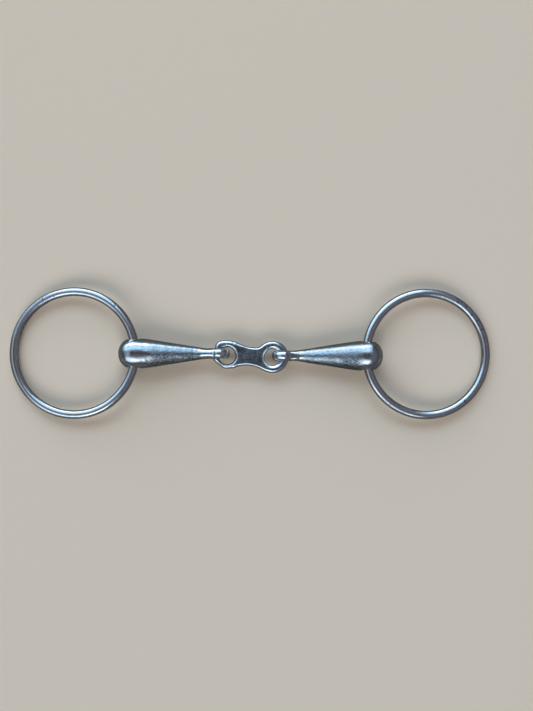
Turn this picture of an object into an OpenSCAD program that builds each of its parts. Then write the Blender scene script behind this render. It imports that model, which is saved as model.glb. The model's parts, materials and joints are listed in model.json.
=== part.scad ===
// Loose-ring snaffle bit with a double-jointed mouthpiece.
// It lies flat on a table at z = 0: X runs along the mouthpiece, Y across it, Z up.
// The origin is on the table, midway between the two rings.

/* [Cheek rings] */
// Outside diameter of each ring
ring_od = 75; // [65:0.5:80]
// Diameter of the round wire of each ring
wire_d = 4.9; // [4:0.05:5]
// Y of the left ring's centre
left_ring_y = 0.25; // [0:0.05:0.5]
// Y of the right ring's centre
right_ring_y = -0.25; // [-0.5:0.05:0]

/* [Mouthpiece arms] */
// Distance from the centre of the eye to the centre of the ring hole
arm_len = 48.1; // [44:0.1:60]
// Largest diameter of the arm, at the ring hole
butt_d = 17.7; // [16:0.1:18.4]
// Length of the rounded end beyond the centre of the ring hole
butt_tip = 8.8; // [8:0.1:10]
// Bluntness of the rounded end, where 2 is an ellipsoid
butt_blunt = 2.1; // [2:0.05:3]
// Diameter of the arm where it runs into the eye
neck_d = 5.1; // [4.6:0.1:5.4]
// Fullness of the taper, where 1 is a straight cone
taper_power = 1.12; // [1:0.01:1.4]
// Diameter of the cross hole that the ring slides through
ring_hole_d = 6.9; // [6.8:0.05:7.2]
// Diameter of the worn mouth of that hole
hole_mouth_d = 7.7; // [7.4:0.1:8.6]
// Depth of the worn mouth, measured from the arm's side
hole_mouth_depth = 1; // [0.8:0.1:2]
// Y of the left arm's axis
left_arm_y = 0.05; // [0:0.05:0.15]
// Y of the right arm's axis
right_arm_y = -1.25; // [-1.3:0.05:-1.15]

/* [Arm eyes] */
// Outside diameter of the eye
eye_d = 12.6; // [12.4:0.1:13]
// Diameter of the hole through the eye
eye_hole_d = 6.9; // [6.8:0.1:7.2]
// Width of the eye across the bit
eye_w = 5.8; // [5:0.1:5.9]
// Size of the eye's bevelled edges
eye_bevel = 1; // [0.8:0.1:1.2]
// Distance along X from the origin to the centre of each eye
eye_x = 18.45; // [18.3:0.05:18.5]

/* [Centre link] */
// Distance between the centres of the two lobes
lobe_spacing = 24.8; // [24.6:0.1:25]
// Outside diameter of the left lobe
left_lobe_d = 16.8; // [16.6:0.1:17]
// Outside diameter of the right lobe
right_lobe_d = 18.4; // [18:0.1:18.5]
// Diameter of the left hole
left_hole_d = 9.4; // [9.2:0.1:9.6]
// Diameter of the right hole
right_hole_d = 9.2; // [9.1:0.1:9.4]
// How far the left hole sits outward of its lobe's centre
left_hole_out = 1.05; // [0.8:0.05:1.2]
// How far the left hole sits toward -Y from its lobe's centre
left_hole_drop = 0.9; // [0.8:0.05:1]
// Thickness of the link
link_t = 4.2; // [3.8:0.1:4.4]
// Size of the bevel round its edges
link_bevel = 1.3; // [1.1:0.1:1.4]
// Width of the waist between the lobes
waist_w = 11.2; // [10:0.1:13]
// Radius of the hollow on each side of the waist
waist_r = 18.5; // [17:0.5:22]
// How far the link is turned clockwise, seen from above
link_yaw = 3.8; // [3.4:0.1:4]
// Y of the link's middle
link_y = -1.2; // [-1.3:0.05:-1.1]

/* [Hidden] */
$fn = 96;
WIRE_FN = 48;

RING_COLOR = "#8f9aa6";
ARM_COLOR = "#a3a7ab";
LINK_COLOR = "#78828f";

// How far cutting shapes run past the surface they open
overcut = 1;

// Centre link
link_x = -0.1;
right_hole_drop = 0.2;
// Block between the lobes that the waist is cut from
waist_block_len = 18;
waist_block_w = 15.2;

// Arms
eye_r = eye_d / 2;
eye_hole_r = eye_hole_d / 2;
butt_r = butt_d / 2;
neck_r = neck_d / 2;
// The arm's body starts inside the eye's wall, clear of its hole
arm_start = eye_hole_r + 1.1;
// The taper ends at this share of the eye's radius from its centre
neck_share = 0.72;
taper_len = arm_len - eye_r * neck_share;
TAPER_STEPS = 18;
TIP_STEPS = 12;

// The eye and the thick end both touch the table, so the arm lies at a small pitch
arm_pitch = asin((butt_r - eye_r) / arm_len);
hole_x = eye_x + arm_len * cos(arm_pitch);
hole_z = eye_r + arm_len * sin(arm_pitch);

// Rings
wire_r = wire_d / 2;
ring_r = (ring_od - wire_d) / 2;
// The wire bends away inside the straight hole, so half of that bend goes to each side
ring_shift = pow(butt_r, 2) / (4 * ring_r);
ring_reach = ring_r - ring_shift;
// The far side of each ring touches the table too
ring_pitch = asin((hole_z - wire_r) / (ring_reach + ring_r));

// Arm radius at a distance from the ring hole towards the eye
function taper(distance) =
    let (share = min(1, max(0, distance / taper_len)))
    neck_r + (butt_r - neck_r) * (1 - pow(share, taper_power));

// Superellipse coordinate from a sine or cosine
function blunted(v) = pow(max(0, v), 2 / butt_blunt);

// Half outline of the arm: radius, distance from the eye's centre
arm_profile = concat(
    [[0, arm_start]],
    [for (i = [0 : TAPER_STEPS])
        let (distance = (arm_len - arm_start) * (1 - i / TAPER_STEPS))
        [taper(distance), arm_len - distance]],
    [for (i = [1 : TIP_STEPS - 1])
        let (angle = 90 * i / TIP_STEPS)
        [butt_r * blunted(cos(angle)), arm_len + butt_tip * blunted(sin(angle))]],
    [[0, arm_len + butt_tip]]
);

// Eye at the origin with its hole along Y and all four edges bevelled
module eye() {
    side = eye_w / 2;
    bevel_side = side - eye_bevel;
    inner = eye_hole_r + eye_bevel;
    outer = eye_r - eye_bevel;
    rotate([90, 0, 0])
        rotate_extrude()
            polygon([[eye_hole_r, -bevel_side], [inner, -side],
                     [outer, -side], [eye_r, -bevel_side],
                     [eye_r, bevel_side], [outer, side],
                     [inner, side], [eye_hole_r, bevel_side]]);
}

// Cross hole with a flared mouth at each side
module ring_hole() {
    flare_h = hole_mouth_depth + overcut;
    flare_growth = (hole_mouth_d - ring_hole_d) * flare_h / hole_mouth_depth;
    translate([arm_len, 0, 0]) rotate([90, 0, 0]) {
        cylinder(h = butt_d + 4 * overcut, d = ring_hole_d, center = true);
        for (side = [0, 1]) mirror([0, 0, side])
            translate([0, 0, butt_r - hole_mouth_depth])
                cylinder(h = flare_h, d1 = ring_hole_d, d2 = ring_hole_d + flare_growth);
    }
}

// One arm from its eye at the origin to its thick end along +X
module arm() {
    difference() {
        union() {
            rotate([0, 90, 0]) rotate_extrude() polygon(arm_profile);
            eye();
        }
        ring_hole();
    }
}

// Right-hand arm as it lies; the left one is mirrored in X
module place_arm(y) {
    translate([eye_x, y, eye_r]) rotate([0, -arm_pitch, 0]) arm();
}

// Right-hand ring as it lies; the left one is mirrored in X
module place_ring(y) {
    translate([hole_x, y, hole_z]) rotate([0, ring_pitch, 0]) translate([ring_reach, 0, 0])
        rotate_extrude() translate([ring_r, 0]) circle(d = wire_d, $fn = WIRE_FN);
}

// Bevelled hole through the link
module link_hole(d) {
    flare_h = link_bevel + overcut;
    cylinder(h = link_t + 2 * overcut, d = d, center = true);
    for (side = [0, 1]) mirror([0, 0, side])
        translate([0, 0, link_t / 2 - link_bevel])
            cylinder(h = flare_h, d1 = d, d2 = d + 2 * flare_h);
}

// Disc with bevelled edges at one end of the link
module lobe(d) {
    face = link_t / 2;
    rim = face - link_bevel;
    r = d / 2;
    rotate_extrude()
        polygon([[0, -face], [r - link_bevel, -face], [r, -rim],
                 [r, rim], [r - link_bevel, face], [0, face]]);
}

// Cutter on the +Y side: a round hollow with a bevelled rim
module waist_hollow() {
    top = link_t / 2 + overcut;
    rim = link_t / 2 - link_bevel;
    flare_r = waist_r + link_bevel + overcut;
    translate([0, waist_w / 2 + waist_r, 0])
        rotate_extrude()
            polygon([[0, -top], [flare_r, -top], [waist_r, -rim],
                     [waist_r, rim], [flare_r, top], [0, top]]);
}

module left_ring() {
    color(RING_COLOR) mirror([1, 0, 0]) place_ring(left_ring_y);
}

module left_mouth_arm() {
    color(ARM_COLOR) mirror([1, 0, 0]) place_arm(left_arm_y);
}

// Two lobes joined by a waist, level with the centres of the eyes
module centre_link() {
    lobe_x = lobe_spacing / 2;
    color(LINK_COLOR)
    translate([link_x, link_y, eye_r]) rotate([0, 0, -link_yaw])
    difference() {
        union() {
            translate([-lobe_x, 0, 0]) lobe(left_lobe_d);
            translate([lobe_x, 0, 0]) lobe(right_lobe_d);
            difference() {
                cube([waist_block_len, waist_block_w, link_t], center = true);
                for (side = [0, 1]) mirror([0, side, 0]) waist_hollow();
            }
        }
        translate([-lobe_x - left_hole_out, -left_hole_drop, 0]) link_hole(left_hole_d);
        translate([lobe_x, -right_hole_drop, 0]) link_hole(right_hole_d);
    }
}

module right_mouth_arm() {
    color(ARM_COLOR) place_arm(right_arm_y);
}

module right_ring() {
    color(RING_COLOR) place_ring(right_ring_y);
}

left_ring();
left_mouth_arm();
centre_link();
right_mouth_arm();
right_ring();
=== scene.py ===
import bpy
import json
import math
import numpy as np
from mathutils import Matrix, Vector, noise

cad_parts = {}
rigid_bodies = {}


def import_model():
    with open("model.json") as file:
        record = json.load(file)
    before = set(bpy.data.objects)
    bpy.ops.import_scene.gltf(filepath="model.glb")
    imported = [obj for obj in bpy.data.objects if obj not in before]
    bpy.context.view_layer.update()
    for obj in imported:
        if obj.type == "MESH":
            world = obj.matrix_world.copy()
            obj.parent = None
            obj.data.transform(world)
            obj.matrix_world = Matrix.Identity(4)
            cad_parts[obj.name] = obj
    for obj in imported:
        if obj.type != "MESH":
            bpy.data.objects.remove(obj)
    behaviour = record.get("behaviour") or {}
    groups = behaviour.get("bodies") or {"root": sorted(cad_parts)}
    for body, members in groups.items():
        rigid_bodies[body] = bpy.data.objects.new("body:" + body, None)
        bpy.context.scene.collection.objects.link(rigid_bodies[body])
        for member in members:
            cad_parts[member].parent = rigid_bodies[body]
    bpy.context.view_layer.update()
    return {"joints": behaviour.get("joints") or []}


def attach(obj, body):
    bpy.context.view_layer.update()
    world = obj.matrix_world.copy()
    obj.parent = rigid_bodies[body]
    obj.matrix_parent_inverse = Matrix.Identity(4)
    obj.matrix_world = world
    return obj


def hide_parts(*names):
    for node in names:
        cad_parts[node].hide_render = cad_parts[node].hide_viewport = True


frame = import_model()
joints = {j["name"]: j for j in frame["joints"]}
MM = 0.001


def joint_mm(name):
    return np.array(joints[name]["pos_m"], float) * 1000


# ---------------------------------------------------------------- distance fields, in millimetres
def smin(a, b, k):
    h = np.clip(0.5 + 0.5 * (b - a) / k, 0, 1)
    return b + (a - b) * h - k * h * (1 - h)


def smax(a, b, k):
    return -smin(-a, -b, k)


def half_plane(x, y, px, py, nx, ny):
    n = math.hypot(nx, ny)
    return ((x - px) * nx + (y - py) * ny) / n


def profile_table(pts, x0, x1, r1, step=0.1):
    """Signed distance to the solid turned from the open profile pts (x, radius), on a grid of x and radius."""
    xs = np.arange(x0, x1 + step, step)
    rs = np.arange(0, r1 + step, step)
    gx, gr = np.meshgrid(xs, rs, indexing="ij")
    best = np.full(gx.shape, 1e9)
    for (ax, ar), (bx, br) in zip(pts[:-1], pts[1:]):
        dx, dr = bx - ax, br - ar
        t = np.clip(((gx - ax) * dx + (gr - ar) * dr) / (dx * dx + dr * dr + 1e-12), 0, 1)
        best = np.minimum(best, (gx - ax - t * dx) ** 2 + (gr - ar - t * dr) ** 2)
    best = np.sqrt(best)
    px, pr = np.array(pts).T
    inside = (gr < np.interp(gx, px, pr)) & (gx > px[0]) & (gx < px[-1])
    return xs[0], step, np.where(inside, -best, best)


def sample_table(tab, x, r):
    x0, step, t = tab
    fx = np.clip((x - x0) / step, 0, t.shape[0] - 1.001)
    fr = np.clip(r / step, 0, t.shape[1] - 1.001)
    i, j = fx.astype(int), fr.astype(int)
    a, b = fx - i, fr - j
    v = (t[i, j] * (1 - a) * (1 - b) + t[i + 1, j] * a * (1 - b)
         + t[i, j + 1] * (1 - a) * b + t[i + 1, j + 1] * a * b)
    out = np.maximum(0, np.maximum(x0 - x, x - (x0 + step * (t.shape[0] - 1))))
    return v + out


def polygonise(field, lo, hi, h, relax=6):
    """Surface nets on the field, then the points are evened out and put on its zero surface."""
    n = [int(math.ceil((b - a) / h)) + 1 for a, b in zip(lo, hi)]
    ax = [lo[i] + h * np.arange(n[i]) for i in range(3)]
    F = np.empty(n)
    for i in range(n[0]):
        Y, Z = np.meshgrid(ax[1], ax[2], indexing="ij")
        F[i] = field(np.full(Y.shape, ax[0][i]), Y, Z)
    S = F < 0
    c = [(0, 0, 0), (1, 0, 0), (0, 1, 0), (1, 1, 0), (0, 0, 1), (1, 0, 1), (0, 1, 1), (1, 1, 1)]

    def cut(A, o):
        return A[o[0]:n[0] - 1 + o[0], o[1]:n[1] - 1 + o[1], o[2]:n[2] - 1 + o[2]]

    count = sum(cut(S, o).astype(np.int8) for o in c)
    cells = np.argwhere((count > 0) & (count < 8))
    idx = -np.ones([v - 1 for v in n], int)
    idx[tuple(cells.T)] = np.arange(len(cells))
    acc, num = np.zeros((len(cells), 3)), np.zeros(len(cells))
    for a in range(8):
        for b in range(a + 1, 8):
            if sum(abs(c[a][k] - c[b][k]) for k in range(3)) != 1:
                continue
            fa, fb = F[tuple((cells + c[a]).T)], F[tuple((cells + c[b]).T)]
            m = (fa < 0) != (fb < 0)
            t = fa[m] / (fa[m] - fb[m])
            acc[m] += np.array(c[a]) + (np.array(c[b]) - np.array(c[a])) * t[:, None]
            num[m] += 1
    P = np.array(lo) + h * (cells + acc / num[:, None])
    quads = []
    for axis in range(3):
        u, v = (axis + 1) % 3, (axis + 2) % 3
        sl0, sl1 = [slice(None)] * 3, [slice(None)] * 3
        sl0[axis], sl1[axis] = slice(0, -1), slice(1, None)
        flip = S[tuple(sl0)] != S[tuple(sl1)]
        e = np.argwhere(flip)
        ok = (e[:, u] > 0) & (e[:, v] > 0) & (e[:, u] < n[u] - 1) & (e[:, v] < n[v] - 1)
        e = e[ok]
        du, dv = np.zeros(3, int), np.zeros(3, int)
        du[u], dv[v] = 1, 1
        q = np.stack([idx[tuple((e - du - dv).T)], idx[tuple((e - dv).T)],
                      idx[tuple(e.T)], idx[tuple((e - du).T)]], 1)
        out = S[tuple(e.T)]
        q[~out] = q[~out][:, ::-1]
        quads.append(q)
    Q = np.concatenate(quads)

    def value(p):
        return field(p[:, 0], p[:, 1], p[:, 2])

    def normal(p):
        eps = 0.04
        g = np.stack([value(p + np.eye(3)[k] * eps) - value(p - np.eye(3)[k] * eps) for k in range(3)], 1) / (2 * eps)
        return g

    def project(p):
        g = normal(p)
        s = np.maximum((g * g).sum(1, keepdims=True), 0.05)
        d = value(p)[:, None] * g / s
        ln = np.linalg.norm(d, axis=1, keepdims=True)
        return p - d * np.minimum(1, h / np.maximum(ln, 1e-9))

    edges = np.concatenate([Q[:, [k, (k + 1) % 4]] for k in range(4)])
    for _ in range(relax):
        tot, cnt = np.zeros_like(P), np.zeros(len(P))
        for a, b in ((0, 1), (1, 0)):
            np.add.at(tot, edges[:, a], P[edges[:, b]])
            np.add.at(cnt, edges[:, a], 1)
        g = normal(P)
        g /= np.linalg.norm(g, axis=1, keepdims=True) + 1e-9
        move = tot / cnt[:, None] - P
        move -= (move * g).sum(1, keepdims=True) * g
        P = project(P + 0.6 * move)
    for _ in range(3):
        P = project(P)
    g = normal(P)
    g /= np.linalg.norm(g, axis=1, keepdims=True) + 1e-9
    return P, Q, g


def fbm(P, scale, octaves=3, seed=0.0):
    off = Vector((seed * 13.7, seed * 7.1, seed * 3.3))
    return np.array([noise.fractal(Vector(p) * scale + off, 1.0, 2.0, octaves, noise_basis="PERLIN_ORIGINAL")
                     for p in P])


def dents(P, N, count, seed, size, depth, where=None):
    """Shallow round nicks pressed into the surface."""
    rng = np.random.default_rng(seed)
    pick = np.arange(len(P)) if where is None else np.flatnonzero(where)
    D = np.zeros(len(P))
    for i in rng.choice(pick, count, replace=False):
        r = rng.uniform(*size)
        k = rng.uniform(*depth)
        long_axis = rng.normal(size=3)
        long_axis -= (long_axis @ N[i]) * N[i]
        long_axis /= np.linalg.norm(long_axis)
        v = P - P[i]
        near = np.flatnonzero((np.abs(v) < 3 * r).all(1))
        w = v[near]
        stretch = rng.uniform(1, 2.4)
        al = w @ long_axis
        d2 = (w * w).sum(1) - al * al + (al / stretch) ** 2
        t = np.clip(1 - d2 / (r * r), 0, 1)
        D[near] -= k * t * t
    return D


def to_object(name, P, Q, attrs=None):
    me = bpy.data.meshes.new(name)
    me.vertices.add(len(P))
    me.vertices.foreach_set("co", (P * MM).astype(np.float32).ravel())
    me.loops.add(Q.size)
    me.loops.foreach_set("vertex_index", Q.astype(np.int32).ravel())
    me.polygons.add(len(Q))
    me.polygons.foreach_set("loop_start", np.arange(0, Q.size, 4, dtype=np.int32))
    me.update(calc_edges=True)
    me.validate()
    me.polygons.foreach_set("use_smooth", np.ones(len(me.polygons), bool))
    for k, v in (attrs or {}).items():
        if np.ndim(v) == 2:
            a = me.attributes.new(k, "FLOAT_VECTOR", "POINT")
            a.data.foreach_set("vector", v.astype(np.float32).ravel())
        else:
            a = me.attributes.new(k, "FLOAT", "POINT")
            a.data.foreach_set("value", np.asarray(v, np.float32))
    ob = bpy.data.objects.new(name, me)
    bpy.context.scene.collection.objects.link(ob)
    return ob


# ---------------------------------------------------------------- design sizes, in millimetres
ARM_LEN, BUTT_R, TIP, BLUNT = 48.1, 8.85, 8.8, 2.1
NECK_R, EYE_R, EYE_IN, EYE_W = 2.5, 6.3, 3.45, 5.8
HOLE_R, WIRE_R, RING_OD = 3.45, 2.45, 75.0
RING_R = RING_OD / 2 - WIRE_R
REACH = RING_R - BUTT_R ** 2 / (4 * RING_R)
eye_l, eye_r = joint_mm("left_arm_fold"), joint_mm("right_arm_fold")
hole_l, hole_r = joint_mm("left_ring_swing"), joint_mm("right_ring_swing")
PITCH = math.asin((hole_r[2] - eye_r[2]) / ARM_LEN)
RING_PITCH = math.asin((hole_r[2] - WIRE_R) / (REACH + RING_R))
STEP = 0.26


# ---------------------------------------------------------------- mouthpiece arms
def arm_profile():
    """Half outline of one arm: a level neck, a straight taper that swells like a barrel, and a round end."""
    x = np.linspace(3.9, ARM_LEN, 120)
    taper = smin(9.4 - 0.158 * (ARM_LEN - x), 9.1, 1.6)
    r = smax(taper, NECK_R + 0 * x, 0.8)
    a = np.linspace(0, math.pi / 2, 80)[1:]
    ex = ARM_LEN + TIP * np.sin(a) ** (2 / BLUNT)
    er = BUTT_R * np.maximum(0, np.cos(a)) ** (2 / BLUNT)
    x, r = np.concatenate([x, ex]), np.concatenate([r, er])
    # ease the meeting of the barrel and the round end
    xs = np.linspace(x[0], x[-1], 600)
    rs = np.interp(xs, x, r)
    k = np.hanning(31)
    k /= k.sum()
    sm = np.convolve(np.concatenate([np.full(15, rs[0]), rs, np.full(15, 0.0)]), k, "valid")
    w = np.clip((xs - 30) / 8, 0, 1) * np.clip((ARM_LEN + 4.5 - xs) / 4, 0, 1)
    return [(xs[0], 0.0)] + list(zip(xs, rs * (1 - w) + sm * w))


ARM_TABLE = profile_table(arm_profile(), -2, 60, 12)


def arm_field(side):
    def f(x, y, z):
        rho = np.hypot(y, z)
        az = np.abs(z)
        R = np.hypot(x, z)
        body = sample_table(ARM_TABLE, x, rho)
        # the eye is the round bar bent to a ring, set hard against the neck
        n = 2.05 + 0.55 * np.clip((-x - 2.0) / 3.5, 0, 1)
        eye = 2.95 * ((np.maximum(R - 3.35, 0) / 2.95) ** n + (np.abs(y) / 2.95) ** n) ** (1 / n) - 2.95
        eye = smax(eye, half_plane(x, az, 2.3, 5.9, 0.82, 0.57), 0.8)
        # the neck is deeper than it is wide
        top = np.interp(x, [0, 3.4, 5.5, 8.0, 10.5, 14.0], [5.0, 4.85, 4.5, 4.15, 3.9, 3.7])
        rw = np.interp(x, [2.0, 5.0, 9.0, 14.0], [2.75, 2.52, 2.45, 2.75])
        neck = np.hypot(y, np.maximum(az - (top - rw), 0)) - rw
        neck = smax(neck, np.maximum(2.4 - x, x - 13.6), 0.8)
        if side > 0:
            # one dressed flat on top of this neck, ending where the taper starts
            flat = half_plane(y, az, 0.0, 3.75, 0.055, 1.0)
            flat = np.where(z > 0, flat, -5.0)
            neck = smax(neck, smax(flat, (x - 8.6) * 0.5, 1.2), 0.5)
        else:
            # two slight hollows where this neck was hammered
            neck = neck + 0.10 * np.exp(-((x - 6.9) / 0.9) ** 2) + 0.08 * np.exp(-((x - 11.2) / 1.1) ** 2)
        d = smin(smin(body, neck, 1.1), eye, 0.7)
        bore = np.hypot(x - ARM_LEN, z) - HOLE_R
        # the ring has rounded over the hole's mouth
        d = smax(d, -bore, 0.9)
        # the eye's own hole, with rounded lips
        return smax(d, EYE_IN - R, 0.9)
    return f


def make_arm(name, body, node, side, origin, seed):
    P, Q, N = polygonise(arm_field(side), (-7.2, -9.4, -9.4), (58.4, 9.4, 9.4), STEP)
    x = P[:, 0]
    D = 0.055 * fbm(P, 0.16, 2, seed) + 0.022 * fbm(P, 0.55, 2, seed + 3)
    D += dents(P, N, 60, 11 * seed + 5, (0.5, 1.3), (0.02, 0.07), x > 4)
    D += dents(P, N, 10, 11 * seed + 6, (1.4, 2.6), (0.03, 0.08), x > 12)
    # nothing stands proud inside the hole and the eye, so that the ring and the link stay clear
    R = np.hypot(x, P[:, 2])
    inner = np.clip((np.abs(R - EYE_IN) - 0.2) / 1.2, 0, 1) * np.clip(
        (np.hypot(x - ARM_LEN, P[:, 2]) - HOLE_R - 0.2) / 1.2, 0, 1)
    D = D * np.where(D > 0, inner, 0.35 + 0.65 * inner)
    D = np.minimum(D, 0.02)
    P = P + N * D[:, None]
    hole = np.hypot(x - ARM_LEN, P[:, 2]) - HOLE_R
    attrs = {
        "in_hole": np.clip(1 - hole / 1.2, 0, 1) * (np.abs(x - ARM_LEN) < HOLE_R + 2),
        "near_eye": np.clip(1 - (x - 2) / 12, 0, 1),
        "local": P.copy(),
    }
    W = P.copy()
    c, s = math.cos(PITCH), math.sin(PITCH)
    W[:, 0], W[:, 2] = c * P[:, 0] - s * P[:, 2], s * P[:, 0] + c * P[:, 2]
    if side < 0:
        W[:, 0] *= -1
        Q = Q[:, ::-1]
    W += origin
    ob = to_object(name, W, Q, attrs)
    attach(ob, body)
    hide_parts(node)
    return ob


# ---------------------------------------------------------------- centre link
LINK_T = 4.2
LINK_YAW = math.radians(3.8)
link_mid = np.array([-0.1, -1.2, 6.3])


def link_fields(x, y):
    """Distance outside the outline, and outside each hole, in the link's own plane."""
    left = np.hypot(x + 12.75, y + 0.2) - 8.1
    corner = np.hypot(x + 16.6, y - 3.4) - 4.1
    corner2 = np.hypot(x + 18.6, y + 2.2) - 2.6
    left = smin(smin(left, corner, 1.6), corner2, 1.4)
    left = smax(left, half_plane(x, y, -21.0, 0, -1, 0.03), 0.5)
    # a straight ground facet takes off the lower outer corner
    block = np.maximum(half_plane(x, y, -13.0, -8.2, 0.05, -1), np.maximum(x + 12.75, y - 1.0))
    left = smin(left, smax(block, half_plane(x, y, -21.1, 0, -1, 0), 0.4), 0.6)
    left = smax(left, half_plane(x, y, -18.65, -5.86, -0.5835, -0.812), 0.25)
    right = np.hypot(x - 12.5, y - 0.05) - 9.2
    top = 20.0 - np.hypot(x - 1.4, y - (4.8 + 20.0))
    bot = 18.2 - np.hypot(x + 1.2, y + (5.75 + 18.2))
    web = np.maximum(np.abs(x + 0.3) - 9.6, np.abs(y + 0.3) - 7.3)
    web = smax(web, np.maximum(top, bot), 1.2)
    out = smin(smin(left, web, 1.3), right, 1.5)
    hl = np.hypot(x + 13.45, y + 0.9) - 4.7
    hr = np.hypot(x - 12.4, y + 0.1) - 4.7
    return out, hl, hr


def link_field(x, y, z):
    out, hl, hr = link_fields(x, y)
    t = LINK_T / 2
    az = np.abs(z)
    # broad worn rounding of the outside edge, broader at the lobes than along the waist
    w = 1.35 + 0.65 * np.clip((np.abs(x) - 5.0) / 5.0, 0, 1)
    e = np.maximum(1 + out / w, 0)
    edge = t * (np.hypot(e, az / t) - 1)
    # each hole is countersunk
    sink, deep = np.interp(x, [-13, 0, 13], [1.35, 1.2, 1.45]), 0.95
    tilt = np.arctan2(t - deep, sink)
    d = edge
    for h in (hl, hr):
        cone = (az - deep) * np.cos(tilt) - h * np.sin(tilt)
        d = smax(d, smax(-h, cone, 0.5), 0.32)
    return d


def make_link():
    h = 0.2
    P, Q, N = polygonise(link_field, (-22.6, -10.6, -2.9), (22.8, 10.6, 2.9), h)
    D = 0.03 * fbm(P, 0.3, 2, 4.0)
    D += dents(P, N, 45, 77, (0.4, 1.0), (0.02, 0.06))
    D = np.minimum(D, 0.01)
    P = P + N * D[:, None]
    flat = np.clip((np.abs(N[:, 2]) - 0.9) / 0.09, 0, 1)
    attrs = {
        "flat": flat,
        "local": P.copy(),
    }
    c, s = math.cos(-LINK_YAW), math.sin(-LINK_YAW)
    W = P.copy()
    W[:, 0], W[:, 1] = c * P[:, 0] - s * P[:, 1], s * P[:, 0] + c * P[:, 1]
    W += link_mid
    ob = to_object("french_link", W, Q, attrs)
    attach(ob, "link")
    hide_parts("centre_link")
    return ob


# ---------------------------------------------------------------- cheek rings
def make_ring(name, body, node, side, hole, seed):
    nu, nv = ((1000, 40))
    u = np.linspace(0, 2 * math.pi, nu, endpoint=False)
    v = np.linspace(0, 2 * math.pi, nv, endpoint=False)
    U, V = np.meshgrid(u, v, indexing="ij")
    C = np.stack([np.cos(U), np.sin(U), 0 * U], -1) * RING_R
    N = np.stack([np.cos(V) * np.cos(U), np.cos(V) * np.sin(U), np.sin(V)], -1)
    P0 = (C + WIRE_R * N).reshape(-1, 3)
    N = N.reshape(-1, 3)
    D = 0.018 * fbm(P0, 0.2, 2, seed + 9)
    # the welded join shows as a faint swelling and a ground flat
    weld = math.radians(172)
    du = (U.ravel() - weld + math.pi) % (2 * math.pi) - math.pi
    D += -0.05 * np.exp(-(du * RING_R / 1.1) ** 2) + 0.03 * np.exp(-(du * RING_R / 3.0) ** 2)
    D += dents(P0, N, 70, 31 * seed + 2, (0.4, 0.9), (0.02, 0.06))
    # a few deep nicks hold dirt
    nick = np.zeros(len(P0))
    spots = ((60, 80, 0.9), (71, 110, 0.5), (132, 70, 0.5)) if side < 0 else (
        (59, 95, 0.6), (50, 75, 0.5), (41, 100, 0.6), (33, 85, 0.5), (24, 90, 0.6), (-51, 95, 0.8))
    for at, up, size in spots:
        dx = (U.ravel() - math.radians(at) + math.pi) % (2 * math.pi) - math.pi
        dv = (V.ravel() - math.radians(up) + math.pi) % (2 * math.pi) - math.pi
        nick += np.exp(-((dx * RING_R / 0.45) ** 2 + (dv * WIRE_R / size) ** 2))
    D -= 0.10 * nick
    # stretches that stay dull: rougher, and painted darker, partly a finish the leather does not rub bright and partly
    # painted shade where the wire shows no highlight
    dull = np.zeros(len(P0))
    for at, wide in (((45, 38),) if side < 0 else ((72, 26), (240, 24))):
        dx = (U.ravel() - math.radians(at) + math.pi) % (2 * math.pi) - math.pi
        dull = np.maximum(dull, np.clip(1.5 - 1.5 * np.abs(dx) / math.radians(wide), 0, 1))
    D = np.minimum(D, 0.02)
    P = P0 + N * D[:, None]
    i = np.arange(nu)[:, None] * nv
    i2 = (np.arange(nu)[:, None] + 1) % nu * nv
    j = np.arange(nv)[None]
    j2 = (j + 1) % nv
    Q = np.stack([i + j, i2 + j, i2 + j2, i + j2], -1).reshape(-1, 4)
    along = np.stack([U.ravel() * RING_R, V.ravel() * WIRE_R, 0 * U.ravel()], 1)
    c, s = math.cos(RING_PITCH), math.sin(RING_PITCH)
    X = P[:, 0] + REACH
    W = np.stack([c * X + s * P[:, 2], P[:, 1], -s * X + c * P[:, 2]], 1)
    if side < 0:
        W[:, 0] *= -1
        Q = Q[:, ::-1]
    W += hole
    ob = to_object(name, W, Q, {"local": P, "along": along, "nick": nick, "dull": dull})
    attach(ob, body)
    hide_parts(node)
    return ob


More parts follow.
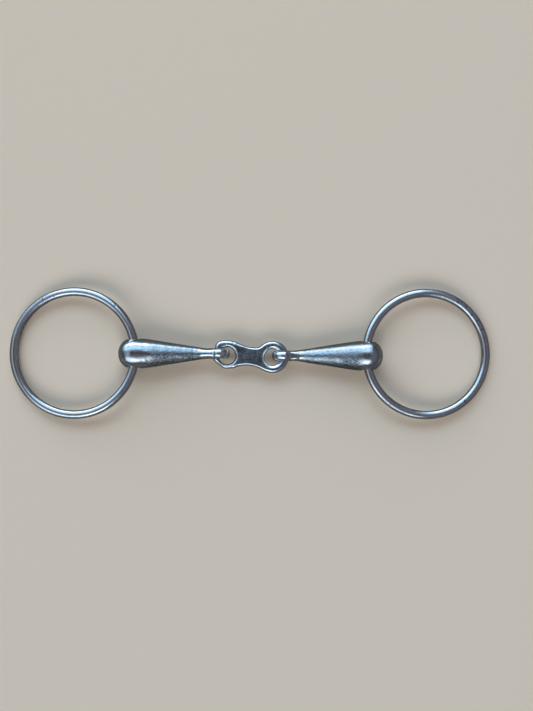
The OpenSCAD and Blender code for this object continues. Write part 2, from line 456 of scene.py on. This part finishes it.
# ---------------------------------------------------------------- materials
class Nodes:
    """Small helper that builds a node tree by calls."""

    def __init__(self, tree):
        self.t = tree

    def add(self, kind, **props):
        n = self.t.nodes.new(kind)
        for k, v in props.items():
            setattr(n, k, v)
        return n

    def put(self, node, name, value):
        sock = node.inputs[name]
        if isinstance(value, bpy.types.NodeSocket):
            self.t.links.new(value, sock)
        else:
            sock.default_value = value

    def attr(self, name, out="Fac"):
        return self.add("ShaderNodeAttribute", attribute_name=name).outputs[out]

    def scaled(self, vec, scale, rot=(0, 0, 0), loc=(0, 0, 0)):
        n = self.add("ShaderNodeMapping")
        self.put(n, "Vector", vec)
        n.inputs["Scale"].default_value = scale
        n.inputs["Rotation"].default_value = rot
        n.inputs["Location"].default_value = loc
        return n.outputs[0]

    def noise(self, vec, scale, detail=4, rough=0.55, distort=0.0, out="Fac"):
        n = self.add("ShaderNodeTexNoise")
        self.put(n, "Vector", vec)
        self.put(n, "Scale", scale)
        self.put(n, "Detail", detail)
        self.put(n, "Roughness", rough)
        self.put(n, "Distortion", distort)
        return n.outputs[out]

    def cells(self, vec, scale, feature="F1", random=1.0, out="Distance"):
        n = self.add("ShaderNodeTexVoronoi", feature=feature)
        self.put(n, "Vector", vec)
        self.put(n, "Scale", scale)
        self.put(n, "Randomness", random)
        return n.outputs[out]

    def math(self, op, a, b=None, clamp=False):
        n = self.add("ShaderNodeMath", operation=op, use_clamp=clamp)
        for i, v in enumerate((a, b)):
            if v is None:
                continue
            if isinstance(v, bpy.types.NodeSocket):
                self.t.links.new(v, n.inputs[i])
            else:
                n.inputs[i].default_value = v
        return n.outputs[0]

    def ramp(self, v, lo, hi, to_lo=0.0, to_hi=1.0, smooth=True):
        n = self.add("ShaderNodeMapRange", clamp=True)
        n.interpolation_type = "SMOOTHSTEP" if smooth else "LINEAR"
        self.put(n, "Value", v)
        for k, x in (("From Min", lo), ("From Max", hi), ("To Min", to_lo), ("To Max", to_hi)):
            n.inputs[k].default_value = x
        return n.outputs[0]

    def mix(self, fac, a, b, mode="MIX"):
        n = self.add("ShaderNodeMix", data_type="RGBA", blend_type=mode)
        for i, v in ((0, fac), (6, a), (7, b)):
            if isinstance(v, bpy.types.NodeSocket):
                self.t.links.new(v, n.inputs[i])
            else:
                n.inputs[i].default_value = v if i == 0 else (*v, 1)
        return n.outputs[2]

    def lerp(self, fac, a, b):
        n = self.add("ShaderNodeMix", data_type="FLOAT")
        for i, v in ((0, fac), (2, a), (3, b)):
            if isinstance(v, bpy.types.NodeSocket):
                self.t.links.new(v, n.inputs[i])
            else:
                n.inputs[i].default_value = v
        return n.outputs[0]

    def bump(self, height, distance, strength=1.0, normal=None):
        n = self.add("ShaderNodeBump")
        self.put(n, "Height", height)
        n.inputs["Distance"].default_value = distance * MM
        n.inputs["Strength"].default_value = strength
        if normal is not None:
            self.put(n, "Normal", normal)
        return n.outputs[0]

    def scratches(self, vec, scale, rot, width=0.012, keep=0.55, seed=0.0):
        """Thin straight lines, broken up so that each runs only part of the way."""
        v = self.scaled(vec, (scale * 0.045, scale, scale), rot, (seed, seed * 0.7, seed * 1.3))
        line = self.noise(v, 1.0, 2, 0.5)
        thin = self.ramp(self.math("ABSOLUTE", self.math("SUBTRACT", line, 0.5)), 0.0, width, 1.0, 0.0)
        part = self.ramp(self.noise(self.scaled(vec, (scale * 0.12,) * 3, rot, (seed + 5, 0, 0)), 1.0, 2), keep,
                         keep + 0.06)
        return self.math("MULTIPLY", thin, part)


def new_material(name):
    m = bpy.data.materials.new(name)
    m.use_nodes = True
    return m, Nodes(m.node_tree), m.node_tree.nodes["Principled BSDF"]


def arm_material(name, seed, side):
    """Satin steel, mouthed and wiped for years: polished at the thick end, pitted and dull along the taper."""
    m, n, b = new_material(name)
    p = n.attr("local", "Vector")
    sep = n.add("ShaderNodeSeparateXYZ")
    n.put(sep, "Vector", p)
    px, py, pz = sep.outputs
    # the dull stretch: along the taper, and more on one flank on the left arm
    end = (36.0, 43.0) if side < 0 else (41.0, 47.5)
    taper = n.math("MULTIPLY", n.ramp(px, 8.0, 14.0), n.ramp(px, end[0], end[1], 1.0, 0.0))
    flank = n.ramp(py, -1.2, 1.8, 1.0, 0.10 if side < 0 else 0.30)
    big = n.noise(n.scaled(p, (0.075, 0.13, 0.13), (0, 0, 0), (seed, 2, 1)), 1.0, 5, 0.6)
    dull = n.math("MULTIPLY", n.math("MULTIPLY", taper, flank), n.ramp(big, 0.30, 0.52, 0.45, 1.0))
    mottle = n.noise(n.scaled(p, (0.75, 1.0, 1.0), (0, 0, 0), (seed * 2, 0, 0)), 1.0, 6, 0.68)
    speck = n.noise(n.scaled(p, (1.7, 2.3, 2.3), (0.3, 0.1, 0.2), (seed, 0, 0)), 1.0, 5, 0.66)
    grain = n.noise(n.scaled(p, (0.5, 6.0, 6.0)), 1.0, 5, 0.6)
    fine = n.noise(p, 6.5, 4, 0.6)
    pit_cell = n.cells(n.scaled(p, (0.9, 1.1, 1.1), (0.2, 0.5, 0.1), (seed, 0, 0)), 1.0)
    pits = n.math("MULTIPLY", n.ramp(pit_cell, 0.12, 0.34, 1.0, 0.0),
                  n.math("MULTIPLY", n.ramp(n.noise(p, 0.42, 3, 0.6), 0.46, 0.58), n.math("ADD", dull, 0.12, True)))
    small = n.math("MULTIPLY", n.ramp(n.cells(n.scaled(p, (1, 1, 1), (0.4, 0.2, 0.9)), 2.6), 0.12, 0.36, 1.0, 0.0),
                   n.math("MULTIPLY", n.ramp(n.noise(p, 1.1, 3), 0.46, 0.58), n.math("ADD", dull, 0.3, True)))
    lines = n.scratches(p, 2.0, (0, 0, 0.10), 0.013, 0.44, seed)
    for sc, rot, wd, kp, sd in ((1.5, (0.5, 0.3, 0.9), 0.010, 0.50, 3), (2.8, (1.1, 0.8, -0.5), 0.010, 0.52, 6),
                                (1.2, (0.1, 0.05, 0.02), 0.009, 0.46, 9)):
        lines = n.math("MAXIMUM", lines, n.scratches(p, sc, rot, wd, kp, seed + sd))
    hole = n.attr("in_hole")
    neck = n.attr("near_eye")
    col = n.mix(n.ramp(mottle, 0.36, 0.64), (0.54, 0.56, 0.59), (0.66, 0.68, 0.71))
    col = n.mix(n.math("MULTIPLY", n.ramp(px, 9.0, 13.0, 1.0, 0.0), 0.8), col, (0.84, 0.85, 0.87))
    patchy = n.ramp(n.math("ADD", n.math("MULTIPLY", mottle, 0.7), n.math("MULTIPLY", speck, 0.3)), 0.44, 0.56)
    col = n.mix(n.math("MULTIPLY", dull, n.lerp(patchy, 1.0, 0.22 if side < 0 else 0.62)), col,
                (0.14, 0.16, 0.19))
    col = n.mix(n.math("MULTIPLY", n.ramp(fine, 0.5, 0.68), 0.22), col, (0.36, 0.34, 0.32))
    col = n.mix(n.math("MULTIPLY", pits, 0.85), col, (0.085, 0.08, 0.075))
    col = n.mix(n.math("MULTIPLY", small, 0.55), col, (0.16, 0.15, 0.14))
    col = n.mix(n.math("MULTIPLY", lines, 0.35), col, (0.80, 0.82, 0.85))
    col = n.mix(n.math("MULTIPLY", hole, 0.5), col, (0.17, 0.155, 0.14))
    n.put(b, "Base Color", col)
    n.put(b, "Metallic", 1.0)
    r = n.ramp(mottle, 0.3, 0.7, 0.10, 0.17, False)
    r = n.math("ADD", r, n.math("MULTIPLY", dull, n.lerp(patchy, 0.26, 0.0)))
    r = n.math("ADD", r, n.math("MULTIPLY", pits, 0.2))
    r = n.math("ADD", r, n.math("MULTIPLY", n.math("SUBTRACT", grain, 0.5), 0.10))
    r = n.math("SUBTRACT", r, n.math("MULTIPLY", neck, 0.03))
    n.put(b, "Roughness", n.math("MAXIMUM", r, 0.09))
    # heights in millimetres
    h = n.math("MULTIPLY", mottle, n.math("ADD", n.math("MULTIPLY", dull, 0.26), 0.030))
    h = n.math("ADD", h, n.math("MULTIPLY", speck, n.math("ADD", n.math("MULTIPLY", dull, 0.17), 0.012)))
    h = n.math("ADD", h, n.math("MULTIPLY", grain, 0.006))
    h = n.math("ADD", h, n.math("MULTIPLY", fine, 0.005))
    h = n.math("SUBTRACT", h, n.math("MULTIPLY", pits, 0.06))
    h = n.math("SUBTRACT", h, n.math("MULTIPLY", small, 0.025))
    h = n.math("SUBTRACT", h, n.math("MULTIPLY", lines, 0.007))
    n.put(b, "Normal", n.bump(h, 1.0, 0.9))
    return m


def ring_material(name, seed):
    """Round bar kept bright by the leather: nearly a mirror, with rub marks round the wire and a few dark specks."""
    m, n, b = new_material(name)
    p = n.attr("local", "Vector")
    uv = n.attr("along", "Vector")
    cloud = n.noise(n.scaled(p, (0.07,) * 3, (0, 0, 0), (seed, 0, 3)), 1.0, 5, 0.6)
    mottle = n.noise(p, 0.8, 5, 0.6)
    fine = n.noise(p, 6.0, 4, 0.6)
    rub = n.noise(n.scaled(uv, (3.2, 0.30, 1.0)), 1.0, 4, 0.6)
    draw = n.noise(n.scaled(uv, (0.10, 3.4, 1.0)), 1.0, 4, 0.6)
    scr = n.scratches(p, 2.0, (0.3, 0.2, 0.5), 0.010, 0.52, seed)
    scr2 = n.scratches(p, 2.6, (0.9, 0.5, -0.7), 0.010, 0.53, seed + 2)
    lines = n.math("MAXIMUM", scr, scr2)
    cell = n.cells(p, 0.62)
    specks = n.math("MULTIPLY", n.ramp(cell, 0.045, 0.13, 1.0, 0.0), n.ramp(n.noise(p, 0.25, 2), 0.48, 0.56))
    cell2 = n.cells(p, 1.9)
    pits = n.math("MULTIPLY", n.ramp(cell2, 0.07, 0.22, 1.0, 0.0), n.ramp(n.noise(p, 0.5, 3), 0.50, 0.60))
    col = n.mix(n.ramp(cloud, 0.35, 0.65), (0.67, 0.66, 0.68), (0.77, 0.75, 0.76))
    col = n.mix(n.math("MULTIPLY", n.ramp(mottle, 0.52, 0.7), 0.35), col, (0.38, 0.38, 0.42))
    # the dull stretches are painted darker: partly an unrubbed finish, partly painted shade
    dull_and_painted_shade = n.math("MULTIPLY", n.attr("dull"), n.ramp(mottle, 0.3, 0.6, 0.55, 1.0))
    col = n.mix(n.math("MULTIPLY", dull_and_painted_shade, 0.70), col, (0.36, 0.35, 0.39))
    col = n.mix(n.math("MULTIPLY", specks, 0.9), col, (0.07, 0.065, 0.06))
    col = n.mix(n.math("MULTIPLY", n.attr("nick"), 0.9, True), col, (0.05, 0.045, 0.04))
    col = n.mix(n.math("MULTIPLY", pits, 0.5), col, (0.16, 0.15, 0.15))
    col = n.mix(n.math("MULTIPLY", lines, 0.4), col, (0.80, 0.82, 0.86))
    n.put(b, "Base Color", col)
    n.put(b, "Metallic", 1.0)
    r = n.ramp(cloud, 0.3, 0.7, 0.06, 0.12, False)
    r = n.math("ADD", r, n.math("MULTIPLY", n.ramp(mottle, 0.5, 0.7), 0.08))
    r = n.math("ADD", r, n.math("MULTIPLY", dull_and_painted_shade, 0.28))
    r = n.math("ADD", r, n.math("MULTIPLY", n.math("ADD", specks, pits, True), 0.3))
    r = n.math("ADD", r, n.math("MULTIPLY", n.ramp(rub, 0.5, 0.7), 0.06))
    n.put(b, "Roughness", n.math("MAXIMUM", r, 0.07))
    h = n.math("MULTIPLY", mottle, 0.20)
    h = n.math("ADD", h, n.math("MULTIPLY", rub, 0.10))
    h = n.math("ADD", h, n.math("MULTIPLY", draw, 0.14))
    h = n.math("ADD", h, n.math("MULTIPLY", fine, 0.06))
    h = n.math("SUBTRACT", h, n.math("MULTIPLY", specks, 0.8))
    h = n.math("SUBTRACT", h, n.math("MULTIPLY", pits, 0.4))
    h = n.math("SUBTRACT", h, n.math("MULTIPLY", lines, 0.22))
    n.put(b, "Normal", n.bump(h, 0.05, 0.8))
    return m


def link_material(name):
    """Flat faces dark grey and scored, rounded edges and hole rims rubbed bright; the faces' dark colour is partly
    painted shade and the rims' bright colour partly painted highlight.
    """
    m, n, b = new_material(name)
    p = n.attr("local", "Vector")
    flat = n.attr("flat")
    patch = n.noise(p, 0.16, 5, 0.6)
    mottle = n.noise(p, 1.1, 6, 0.65)
    fine = n.noise(p, 6.0, 4, 0.6)
    s1 = n.scratches(p, 2.6, (0, 0, 0.7), 0.013, 0.44, 1.0)
    s2 = n.scratches(p, 2.0, (0, 0, -0.45), 0.012, 0.46, 4.0)
    s3 = n.scratches(p, 3.2, (0, 0, 1.5), 0.012, 0.48, 8.0)
    s4 = n.scratches(p, 1.6, (0, 0, 0.1), 0.010, 0.50, 12.0)
    lines = n.math("MAXIMUM", n.math("MAXIMUM", s1, s2), n.math("MAXIMUM", s3, s4))
    cell = n.cells(p, 2.1)
    pits = n.math("MULTIPLY", n.ramp(cell, 0.10, 0.30, 1.0, 0.0), n.ramp(n.noise(p, 0.8, 3), 0.46, 0.60))
    face = n.math("MULTIPLY", flat, n.ramp(n.math("ADD", patch, n.math("MULTIPLY", fine, 0.25)), 0.30, 0.55, 0.72, 1.0))
    # painted shade: the flat faces are coloured dark, partly their scored finish and partly standing in for a dark
    # reflection
    slate_and_painted_shade = n.mix(n.ramp(mottle, 0.38, 0.64), (0.13, 0.15, 0.18), (0.34, 0.37, 0.41))
    slate_and_painted_shade = n.mix(n.math("MULTIPLY", n.ramp(patch, 0.5, 0.65), 0.5), slate_and_painted_shade, (0.14, 0.145, 0.16))
    # painted highlight: the rounded edges and hole rims are coloured bright, partly rubbing wear and partly standing in
    # for their highlights
    bright = n.mix(n.ramp(mottle, 0.35, 0.65), (0.80, 0.81, 0.83), (0.90, 0.90, 0.91))
    col = n.mix(face, bright, slate_and_painted_shade)
    col = n.mix(n.math("MULTIPLY", lines, 0.6), col, (0.78, 0.81, 0.84))
    col = n.mix(n.math("MULTIPLY", pits, 0.5), col, (0.12, 0.12, 0.12))
    n.put(b, "Base Color", col)
    n.put(b, "Metallic", 1.0)
    r = n.lerp(face, n.ramp(mottle, 0.3, 0.7, 0.10, 0.18, False), n.ramp(mottle, 0.3, 0.7, 0.25, 0.38, False))
    r = n.math("SUBTRACT", r, n.math("MULTIPLY", lines, 0.12))
    n.put(b, "Roughness", n.math("MAXIMUM", r, 0.1))
    h = n.math("MULTIPLY", mottle, n.math("ADD", n.math("MULTIPLY", face, 0.055), 0.018))
    h = n.math("ADD", h, n.math("MULTIPLY", fine, 0.010))
    h = n.math("SUBTRACT", h, n.math("MULTIPLY", lines, n.math("ADD", n.math("MULTIPLY", face, 0.014), 0.005)))
    h = n.math("SUBTRACT", h, n.math("MULTIPLY", pits, 0.03))
    n.put(b, "Normal", n.bump(h, 1.0, 0.9))
    return m


ring_l = make_ring("cheek_ring_left", "left_cheek", "left_ring", -1, hole_l, 1)
ring_r = make_ring("cheek_ring_right", "right_cheek", "right_ring", 1, hole_r, 2)
arm_l = make_arm("mouth_arm_left", "left_arm", "left_mouth_arm", -1, eye_l, 1)
arm_r = make_arm("mouth_arm_right", "right_arm", "right_mouth_arm", 1, eye_r, 2)
link = make_link()

for o, m in (
    (ring_l, ring_material("ring_steel_left", 1.0)),
    (ring_r, ring_material("ring_steel_right", 7.0)),
    (arm_l, arm_material("arm_steel_left", 1.0, -1)),
    (arm_r, arm_material("arm_steel_right", 9.0, 1)),
    (link, link_material("link_steel_worn_and_painted_light")),
):
    o.data.materials.append(m)


# ---------------------------------------------------------------- floor, light and camera
def make_floor():
    me = bpy.data.meshes.new("floor")
    s = 3.0
    me.from_pydata([(-s, -s, -0.0003), (s, -s, -0.0003), (s, s, -0.0003), (-s, s, -0.0003)], [], [(0, 1, 2, 3)])
    ob = bpy.data.objects.new("floor", me)
    bpy.context.scene.collection.objects.link(ob)
    m, n, b = new_material("floor_paint")
    # pale to the eye, and painted dark in the metal's reflections: painted shade that stands in for a floor in shadow
    # round the object
    ray = n.add("ShaderNodeLightPath").outputs["Is Glossy Ray"]
    n.put(b, "Base Color", n.mix(ray, (0.80, 0.565, 0.415), (0.195, 0.152, 0.114)))
    b.inputs["Roughness"].default_value = 0.85
    b.inputs["Specular IOR Level"].default_value = 0.1
    me.materials.append(m)
    return ob


def lower_floor(floor):
    """The floor sinks when arms or rings fold down through it, so that it never hides a posed part.

    Its height is the lowest of a few markers that ride the bodies, and never above z = 0.
    """
    low = floor.driver_add("location", 2).driver
    low.type = "MIN"

    def mark(body, x, z):
        spot = bpy.data.objects.new("low_spot", None)
        bpy.context.scene.collection.objects.link(spot)
        spot.parent = body
        spot.location = (x * MM, 0.0, z * MM)
        v = low.variables.new()
        v.type = "TRANSFORMS"
        v.targets[0].id = spot
        v.targets[0].transform_type = "LOC_Z"
        v.targets[0].transform_space = "WORLD_SPACE"

    mark(None, 0.0, 0.0)
    for arm, ring, side, hole in ((arm_l, ring_l, -1, hole_l), (arm_r, ring_r, 1, hole_r)):
        far = abs(hole[0]) + (REACH + RING_R) * math.cos(RING_PITCH)
        for k in range(12):
            t = math.tau * k / 12
            mark(arm.parent, hole[0] + BUTT_R * math.cos(t), hole[2] + BUTT_R * math.sin(t))
            mark(ring.parent, side * far + WIRE_R * math.cos(t), WIRE_R + WIRE_R * math.sin(t))


def area(name, loc, size, size_y, radiance, color):
    L = bpy.data.lights.new(name, "AREA")
    L.shape = "RECTANGLE"
    L.size, L.size_y, L.color = size, size_y, color
    L.energy = radiance * math.pi * size * size_y
    o = bpy.data.objects.new(name, L)
    bpy.context.scene.collection.objects.link(o)
    o.location = loc
    o.rotation_euler = (-Vector(loc)).to_track_quat("-Z", "Y").to_euler()
    return o


def make_world():
    """A room with one wide window on the +Y side, a narrow one on the -Y side and a dim ceiling."""
    w = bpy.data.worlds.new("studio")
    bpy.context.scene.world = w
    w.use_nodes = True
    n = Nodes(w.node_tree)
    bg = w.node_tree.nodes["Background"]
    sep = n.add("ShaderNodeSeparateXYZ")
    n.put(sep, "Vector", n.add("ShaderNodeTexCoord").outputs["Generated"])
    x, y, z = sep.outputs
    a = n.math("ARCTAN2", y, z)
    b = n.math("ARCSINE", x)

    def band(v, lo0, lo1, hi0, hi1):
        return n.math("MULTIPLY", n.ramp(v, lo0, lo1), n.ramp(v, hi0, hi1, 1.0, 0.0))

    far = n.math("MULTIPLY", band(a, 0.24, 0.72, 1.66, 1.95), band(b, -1.35, -0.90, 0.24, 0.48))
    near = n.math("MULTIPLY", band(a, -1.34, -1.02, -0.76, -0.38), band(b, -1.05, -0.62, 0.08, 0.30))
    strip = n.math("MULTIPLY", band(a, 1.13, 1.18, 1.38, 1.50), band(b, -0.95, -0.60, 0.10, 0.30))
    bar = n.math("MULTIPLY", band(a, 1.01, 1.05, 1.09, 1.14), band(b, -1.10, -0.80, 0.20, 0.40))
    side = n.math("MULTIPLY", band(a, -0.8, -0.35, 0.35, 0.8), band(b, -1.15, -0.85, -0.52, -0.24))
    head = n.math("MULTIPLY", band(a, -0.24, -0.12, 0.14, 0.30), band(b, -0.42, -0.22, 0.20, 0.42))
    col = n.mix(n.ramp(z, -0.05, 0.75), (0.060, 0.060, 0.066), (0.150, 0.155, 0.190))
    col = n.mix(side, col, (0.36, 0.42, 0.52))
    col = n.mix(head, col, (0.085, 0.080, 0.082))
    col = n.mix(far, col, (0.79, 1.29, 1.75))
    col = n.mix(strip, col, (2.50, 2.70, 2.80))
    col = n.mix(bar, col, (0.42, 0.60, 0.78))
    col = n.mix(near, col, (1.16, 1.52, 1.74))
    lamp = n.math("MULTIPLY", band(a, -1.06, -0.94, -0.86, -0.74), band(b, -0.30, -0.14, 0.10, 0.26))
    col = n.mix(lamp, col, (2.40, 2.60, 2.70))
    path = n.add("ShaderNodeLightPath")
    n.put(bg, "Color", n.mix(path.outputs["Is Camera Ray"], col, (0.42, 0.40, 0.37)))
    # what lights the floor comes from half way up, so that the small gaps between the parts stay dark
    slant = n.math("ADD", n.math("MULTIPLY", band(n.math("ABSOLUTE", a), 0.42, 0.62, 1.00, 1.20), 3.0), 0.12)
    n.put(bg, "Strength", n.lerp(path.outputs["Is Diffuse Ray"], 1.0, slant))


lower_floor(make_floor())
make_world()
area("key", (-0.15, 0.95, 0.85), 0.7, 0.4, 1.0, (1.0, 0.97, 0.93))
area("fill", (0.0, -0.8, 1.0), 0.5, 0.4, 0.6, (0.72, 0.88, 1.0))
for o in bpy.data.objects:
    if o.type == "LIGHT":
        o.visible_glossy = False
bpy.context.scene.view_settings.view_transform = "Standard"

FOCAL_PX = 977.0   # for a picture 533 points wide
cam_d = bpy.data.cameras.new("camera")
cam = bpy.data.objects.new("camera", cam_d)
bpy.context.scene.collection.objects.link(cam)
cam_d.sensor_fit = "HORIZONTAL"
cam_d.sensor_width = 36
cam_d.lens = FOCAL_PX * 36 / 533
cam.location = (-2.44 * MM, -5.65 * MM, 565.1 * MM)
cam.rotation_euler = (math.radians(0.468), math.radians(-1.162), 0)
cam_d.clip_start, cam_d.clip_end = 0.01, 20
bpy.context.scene.camera = cam
